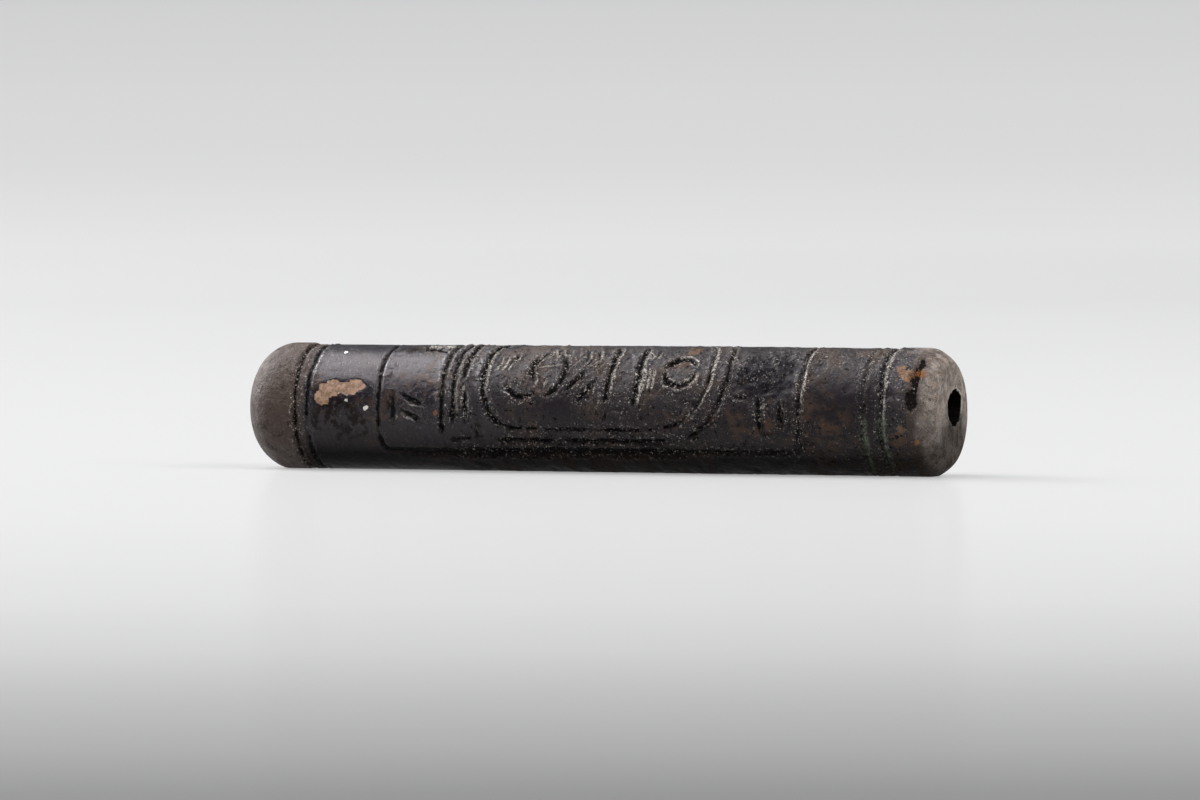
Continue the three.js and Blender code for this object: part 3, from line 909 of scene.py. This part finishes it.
# %% The paler skin of the two ends
END_GREY = colour(0.105, 0.086, 0.073)
END_PALE = colour(0.25, 0.212, 0.185)
END_BROWN = colour(0.13, 0.08, 0.045)
END_PIT = colour(0.02, 0.016, 0.014)
MOUTH_CRUST = colour(0.42, 0.37, 0.32)
CAP_STAIN = colour(0.028, 0.021, 0.017)
end_edge = between(calc("ADD", mask("end"), calc("SUBTRACT", mottle(0.5, 3), 0.5)), 0.2, 0.95)
end_skin = blend(between(mottle(0.7, 5, 0.75), 0.4, 0.6), END_GREY, END_PALE)
end_skin = blend(share_of(between(mottle(0.4, 3), 0.54, 0.66), 0.5), end_skin, END_BROWN)
end_skin = blend(share_of(between(mottle(0.2, 3, 0.8), 0.43, 0.36), 0.8), end_skin, END_PIT)
skin = blend(end_edge, skin, end_skin)
mouth_crust = share_of(mask("mouth"), between(mottle(0.5, 3), 0.4, 0.52))
skin = blend(mouth_crust, skin, MOUTH_CRUST)
cap_stains = share_of(between(mottle(0.6, 4, 0.75), 0.5, 0.4), mask("cap"))
skin = blend(share_of(cap_stains, 0.5), skin, CAP_STAIN)
print(len(tree.nodes), "nodes with the ends")

# %% [markdown]
# Brown stains and black grime lie on the glaze, and dirt fills the deep floor of each cut, with
# painted shade along its steep wall.
# Beads of noise are added to its mask, so that the dark line breaks up as packed soil does.

# %% Stains, and dirt with painted shade
RUST = colour(0.06, 0.034, 0.02)
GRIME = colour(0.009, 0.006, 0.0055)
SOIL_AND_SHADE = colour(0.0045, 0.004, 0.004)
BROKEN_GLAZE = colour(0.006, 0.0058, 0.0085)
rusty = share_of(mask("rust"), between(mottle(0.6, 4, 0.65), 0.48, 0.6))
skin = blend(rusty, skin, RUST)
grimy = share_of(mask("grime"), between(mottle(0.5, 4, 0.7), 0.42, 0.54))
skin = blend(share_of(grimy, 0.9), skin, GRIME)
beads = share_of(calc("SUBTRACT", mottle(0.28, 2, 0.6), 0.5), 1.6)
deep = between(calc("ADD", mask("cut_dirt_and_shade"), beads), 0.38, 0.8)
deep = calc("MAXIMUM", deep, between(calc("ADD", mask("nick"), beads), 0.4, 0.7))
# Dirt in the cuts and nicks, darker at each cut's steep wall as painted shade.
skin = blend(share_of(deep, 0.93), skin, SOIL_AND_SHADE)
broken = share_of(mask("crumbled"), between(mottle(0.4, 3), 0.35, 0.6))
skin = blend(broken, skin, BROKEN_GLAZE)
print(len(tree.nodes), "nodes with stains and dirt")

# %% [markdown]
# Pale crust sits on the edges of the cuts, where it is also a painted highlight, and dark and
# light grit lie beside them, like salt and pepper. Particles could be scattered there. A noise
# with only its peaks kept gives much the same grains with less work.

# %% Crust with painted highlights, and grit
CRUST_AND_HIGHLIGHT = colour(0.52, 0.475, 0.43)
PEPPER = colour(0.006, 0.005, 0.005)
SALT = colour(0.6, 0.56, 0.51)
SINGLE_GRAIN = colour(0.4, 0.37, 0.33)
GREEN_STAIN = colour(0.15, 0.185, 0.125)
grit = between(mottle(0.13, 3, 0.8), 0.45, 0.56)
crust_and_highlight_grit = share_of(between(mask("crust_and_highlight"), 0.25, 0.75), grit)
# Pale crust on the burrs, which is also a painted highlight.
skin = blend(crust_and_highlight_grit, skin, CRUST_AND_HIGHLIGHT)
dark_grit = share_of(between(mottle(0.22, 2, 0.85), 0.455, 0.4), mask("halo"))
skin = blend(share_of(dark_grit, 0.8), skin, PEPPER)
light_grit = share_of(between(mottle(0.19, 2, 0.9), 0.61, 0.655), mask("halo"))
skin = blend(share_of(light_grit, 0.85), skin, SALT)
grains = share_of(between(mottle(0.2, 2, 0.85), 0.645, 0.685), mask("grainy"))
grains = share_of(grains, calc("SUBTRACT", 0.8, share_of(mask("cap"), 0.7)))
skin = blend(grains, skin, SINGLE_GRAIN)
greened = share_of(mask("green"), between(mottle(0.2, 2), 0.42, 0.56))
skin = blend(greened, skin, GREEN_STAIN)
print(len(tree.nodes), "nodes with crust and grit")

# %% [markdown]
# Where the glaze came off, the stone shows tan, with small dark pits and a sharp edge. The hole
# is painted almost black, because hardly any light comes back out of it.

# %% The bare patch and the hole
DEEP_TAN = colour(0.19, 0.11, 0.065)
PALE_TAN = colour(0.33, 0.208, 0.138)
STONE_PIT = colour(0.06, 0.033, 0.02)
HOLE_BLACK = colour(0.004, 0.0035, 0.003)
stone = blend(between(mottle(0.4, 4, 0.7), 0.38, 0.62), DEEP_TAN, PALE_TAN)
stone = blend(share_of(between(mottle(0.17, 3, 0.8), 0.45, 0.38), 0.7), stone, STONE_PIT)
bare_edge = between(calc("ADD", mask("bare"), share_of(mottle(0.2, 2), 0.5)), 0.65, 0.85)
skin = blend(bare_edge, skin, stone)
skin = blend(mask("hole"), skin, HOLE_BLACK)
print(len(tree.nodes), "nodes with the stone")

# %% [markdown]
# Some flecks have places of their own: white grains left of the panel and one under its foot
# line, a bluish one at the oval, an orange one by the uprights, brown ones at the round arcs,
# and orange and brown ones on the chamfered end. They are smaller than the mesh can show, so
# each is a distance from a fixed place, with a ragged edge. Most of the coloured ones are thin,
# so the skin shows through them.


# %% Add the flecks
def on_side(x, angle):
    """The place on the round side in metres."""
    turn = math.radians(angle)
    y, z = -BODY_RADIUS * math.sin(turn), AXIS_HEIGHT + BODY_RADIUS * math.cos(turn)
    return Vector((x, y, z)) / 1000


ragged_edge = share_of(calc("SUBTRACT", mottle(0.28, 3, 0.75), 0.5), 2.6)
thin = between(mottle(0.3, 4, 0.8), 0.36, 0.56)
whole = 1.0
flecks = [
    ((-16.88, 28), 0.13, whole, (0.7, 0.68, 0.65)),
    ((-15.98, 82), 0.12, whole, (0.5, 0.48, 0.45)),
    ((-14.63, 89), 0.16, whole, (0.7, 0.68, 0.62)),
    ((-9.0, 132), 0.1, whole, (0.5, 0.5, 0.4)),
    ((-6.33, 84), 0.2, thin, (0.08, 0.13, 0.17)),
    ((-9.8, 93), 0.17, thin, (0.2, 0.075, 0.025)),
    ((6.9, 21), 0.5, thin, (0.09, 0.048, 0.02)),
    ((6.3, 44), 0.5, thin, (0.09, 0.05, 0.033)),
    ((21.05, 47), 0.4, thin, (0.16, 0.075, 0.026)),
    ((21.5, 53), 0.42, thin, (0.16, 0.075, 0.026)),
    ((22.3, 49), 0.4, thin, (0.18, 0.07, 0.02)),
    ((21.3, 103), 0.3, whole, (0.14, 0.085, 0.05)),
    ((21.1, 112), 0.55, thin, (0.085, 0.044, 0.02)),
    ((22.3, 116), 0.2, whole, (0.24, 0.11, 0.04)),
]
for place, reach, cover, tint in flecks:
    apart = vector_calc("DISTANCE", coordinates, on_side(*place))
    inside = calc("ADD", share_of(apart, 1000 / reach), ragged_edge)
    skin = blend(share_of(between(inside, 1.1, 0.8), cover), skin, colour(*tint))
print(len(flecks), "flecks")

# %% [markdown]
# Gloss tells whole glaze from worn glaze. The stretch next to the rounded end still mirrors the
# soft light above, the rest breaks it into glints, and crust, dirt and bare stone hardly shine
# at all. So two things change over the skin: how rough it is, and how much it shines.

# %% How rough it is
broken_glaze = calc("SUBTRACT", 1.0, share_of(mask("whole_glaze"), 0.7))
clouds = share_of(calc("SUBTRACT", mottle(0.9, 3), 0.5), 0.4)
POLISH = 0.06
roughness = gather("ADD", POLISH, share_of(broken_glaze, 0.3),
                   share_of(share_of(worn, 0.2), broken_glaze), share_of(clouds, broken_glaze))
dull = gather("MAXIMUM", share_of(deep, 0.3), share_of(bare_edge, 0.4),
              share_of(end_edge, 0.14), share_of(crust_and_highlight_grit, 0.2))
roughness = calc("ADD", roughness, dull, clamp=True)
print(len(tree.nodes), "nodes with the roughness")

# %% How much it shines
# The underside hardly shines either, which is painted shade.
dullness_and_shade = gather(
    "MAXIMUM", share_of(deep, 0.9), share_of(mask("underside_shade"), 0.96),
    share_of(mask("crumbled"), 0.85), share_of(grimy, 0.8), share_of(cap_stains, 0.8),
    share_of(dark_grit, 0.9), share_of(worn, 0.4), share_of(mask("duller"), 0.65),
    share_of(dark_grains, 0.95), mask("hole"),
)
gloss = share_of(calc("SUBTRACT", 1.0, dullness_and_shade), 0.5)
print(len(tree.nodes), "nodes with the gloss")

# %% [markdown]
# The underside is painted almost black, as painted shade. Small bumps then break the gloss into
# glints. Their height also follows the crust and its painted highlights, the dirt and its
# painted shade, the grains and the grit, which makes their edges crisper than the mesh alone
# could.

# %% The painted shade underneath and the small bumps
# Painted shade: the underside is painted nearly black.
UNDERSIDE_SHADE = colour(0.0052, 0.0048, 0.0044)
skin = blend(share_of(mask("underside_shade"), 0.75), skin, UNDERSIDE_SHADE)
ripple = calc("ADD", share_of(mottle(0.55, 3, 0.65), 0.8), share_of(mottle(0.17, 3, 0.7), 0.9))
amount = calc("ADD", 0.2, share_of(mask("grainy"), 0.8))
relief = calc("ADD", share_of(ripple, amount), share_of(crust_and_highlight_grit, 0.4))
relief = gather("SUBTRACT", relief, share_of(deep, 0.5), share_of(dark_grains, 0.35),
                share_of(dark_grit, 0.3))
bump = node("ShaderNodeBump")
BUMP_HEIGHT = 0.0002
fill(bump, Strength=0.8, Distance=BUMP_HEIGHT, Height=relief)
print("bumps are", BUMP_HEIGHT * 1000, "mm high")

# %% [markdown]
# All of it meets in one Principled shader. Its mirror is tinted slightly pink, which warms the
# reflections of the lights.

# %% Join the finish
shader = node("ShaderNodeBsdfPrincipled")
fill(shader, Base_Color=skin, Roughness=roughness, Normal=bump.outputs["Normal"],
     Specular_IOR_Level=gloss, IOR=1.5, Specular_Tint=colour(1.0, 0.91, 0.94))
out = node("ShaderNodeOutputMaterial")
tree.links.new(shader.outputs["BSDF"], out.inputs["Surface"])
seal_mesh.materials.append(glaze)
print(len(tree.nodes), "nodes in the finish")

# %% [markdown]
# The seal lies on a pale sweep: a floor that curves up far behind it, so that no edge shows.
# A round dish does the same from every side, which keeps the other views as plain as the
# photograph's. The paper has a thin glossy coat, which dimly mirrors the seal in front of it. It
# also glows, which is painted light: it brightens the far paper and softens the seal's shadow on
# the floor. Its colour darkens towards the camera, which is painted shade. A plain plane would
# do for one picture, but would end in a hard horizon.


# %% A helper for the round dish
def dish(flat_radius, rim_radius, rim_height, steps=24, sides=96):
    outline = [(0.0, 0.0), (flat_radius * 0.3, 0.0), (flat_radius, 0.0)]
    for step in range(1, steps + 1):
        share = step / steps
        outline.append((flat_radius + (rim_radius - flat_radius) * share,
                        rim_height * share**2.2))
    corners, faces = [], []
    for r, z in outline:
        for k in range(sides):
            turn = 2 * math.pi * k / sides
            corners.append((r * math.cos(turn), r * math.sin(turn), z))
    for j in range(len(outline) - 1):
        for k in range(sides):
            a, b = j * sides + k, j * sides + (k + 1) % sides
            faces.append((a, b, b + sides, a + sides))
    mesh = bpy.data.meshes.new("sweep")
    mesh.from_pydata(corners, [], faces)
    mesh.polygons.foreach_set("use_smooth", [True] * len(faces))
    return mesh


# %% The pale sweep
PAPER = 0.27
sweep = bpy.data.objects.new("sweep", dish(1.1, 3.2, 0.7))
bpy.context.scene.collection.objects.link(sweep)
paper = bpy.data.materials.new("paper_with_painted_light")
paper.use_nodes = True
tree = paper.node_tree
paper_shader = tree.nodes["Principled BSDF"]
fill(paper_shader, Roughness=0.35, Specular_IOR_Level=0.5, Coat_Weight=0.3,
     Coat_Roughness=0.16)
floor_place = node("ShaderNodeTexCoord").outputs["Object"]
print(len(sweep.data.polygons), "faces in the sweep")


# %% A helper for a grey scale
def ramp(value, stops):
    """A grey scale through (place, brightness) stops, place from 0 to 1."""
    made = node("ShaderNodeValToRGB")
    plug(made.inputs["Fac"], value)
    made.color_ramp.interpolation = "LINEAR"
    while len(made.color_ramp.elements) < len(stops):
        made.color_ramp.elements.new(0.5)
    for element, (place, tone) in zip(made.color_ramp.elements, stops):
        element.position = place
        element.color = (tone, tone, tone, 1)
    return made.outputs["Color"]


# %% How light the paper is
# How far a place is in front of the seal, in metres, along one fixed direction of the room
in_front = vector_calc("DOT_PRODUCT", floor_place, (0.3665, -0.9304, 0))
# Painted shade: the paper's colour falls off towards the camera.
painted_falloff_shares = [(0, 1), (0.17, 1), (0.275, 0.968), (0.365, 0.92), (0.455, 0.797),
                (0.53, 0.61), (0.5925, 0.465), (0.64, 0.313), (0.8, 0.2)]
near_share = calc("MULTIPLY", in_front, 2.5, clamp=True)
paper_with_painted_falloff = ramp(near_share, [(place, PAPER * share) for place, share in painted_falloff_shares])
# The stronger lights stand on the left, so the paper is made a little lighter on the right
to_the_right = vector_calc("DOT_PRODUCT", floor_place, (0.9304, 0.3665, 0))
evened = calc("ADD", 0.98, share_of(between(to_the_right, -0.15, 0.15), 0.03))
far_away = vector_calc("LENGTH", floor_place)
fading = share_of(between(far_away, 1.8, 2.3), 0.8)
evened = share_of(evened, calc("SUBTRACT", 1.0, fading))
plug(paper_shader.inputs["Base Color"], share_of(paper_with_painted_falloff, evened))
print(len(tree.nodes), "nodes in the paper")

# %% How much the paper glows
# Painted light: the glow, stronger far away, lifts the floor and its shadows.
glow = ramp(calc("MULTIPLY", far_away, 0.4, clamp=True),
            [(0, 0.435), (0.06, 0.41), (0.127, 0.385), (0.24, 0.38), (0.464, 0.505),
             (0.56, 0.58), (0.654, 0.595), (0.72, 0.56), (0.85, 0.14), (1, 0.09)])
glow = share_of(glow, ramp(near_share, painted_falloff_shares))
fill(paper_shader, Emission_Color=glow, Emission_Strength=1.0)
sweep.data.materials.append(paper)
print(len(tree.nodes), "nodes with the glow")

# %% [markdown]
# One wide soft light hangs over the seal, well to the left. Its reflection is the pale band
# along the upper front, and the dark strip above that band is the unlit room behind it. A
# second light stands lower on the left and picks out the right walls of the cuts. A third one
# on the right keeps the chamfered end from going black. It hangs high, because a low one is
# mirrored as a white band when the seal is seen from its rounded end. The room itself glows
# faintly, which softens the shadow on the floor.


# %% Lights
def soft_light(name, place, aim, width, depth, watts, tint=(1, 1, 1)):
    lamp = bpy.data.lights.new(name, "AREA")
    lamp.shape = "RECTANGLE"
    lamp.size, lamp.size_y = width, depth
    lamp.energy = watts
    lamp.color = tint
    stand = bpy.data.objects.new(name, lamp)
    stand.location = place
    stand.rotation_euler = (Vector(aim) - Vector(place)).to_track_quat("-Z", "Y").to_euler()
    bpy.context.scene.collection.objects.link(stand)
    return stand


soft_light("overhead", (-0.84, -0.08, 0.84), (-0.84, -0.08, 0), 1.88, 1.04, 27)
soft_light("low_left", (-1.05, 0.42, 0.6), (0, 0, 0), 0.6, 0.6, 16)
soft_light("right", (0.98, -0.18, 0.75), (0, 0, 0), 0.8, 0.8, 15)

world = bpy.data.worlds.new("room")
world.use_nodes = True
world.node_tree.nodes["Background"].inputs["Color"].default_value = (0.9, 0.93, 1.0, 1)
world.node_tree.nodes["Background"].inputs["Strength"].default_value = 0.2
bpy.context.scene.world = world
bpy.context.scene.view_settings.view_transform = "Standard"

# %% [markdown]
# The photograph was taken with a long lens from almost floor level, so the seal's two sides
# stay nearly parallel. The camera stands where the seal's outline was found to fit: 21.5
# degrees round towards the chamfered end and 1.8 degrees up.

# %% Camera
AZIMUTH, ELEVATION, DISTANCE = math.radians(21.5), math.radians(1.81), 0.5061
towards_camera = Vector((
    math.sin(AZIMUTH) * math.cos(ELEVATION),
    -math.cos(AZIMUTH) * math.cos(ELEVATION),
    math.sin(ELEVATION),
))
target = Vector((0.00009, 0, 0.004))
stand_point = target + towards_camera * DISTANCE
across = Vector((math.cos(AZIMUTH), math.sin(AZIMUTH), 0))
upwards = towards_camera.cross(across)
aim = target - across * 0.000268 + upwards * 0.000547
lens = bpy.data.cameras.new("camera")
lens.lens = 240
lens.sensor_width = 36
lens.clip_start = 0.01
camera = bpy.data.objects.new("camera", lens)
camera.location = stand_point
level = (aim - stand_point).to_track_quat("-Z", "Y")
camera.rotation_euler = (level @ Quaternion((0, 0, 1), math.radians(-0.1))).to_euler()
bpy.context.scene.collection.objects.link(camera)
bpy.context.scene.camera = camera
print("camera", [round(v, 4) for v in stand_point])
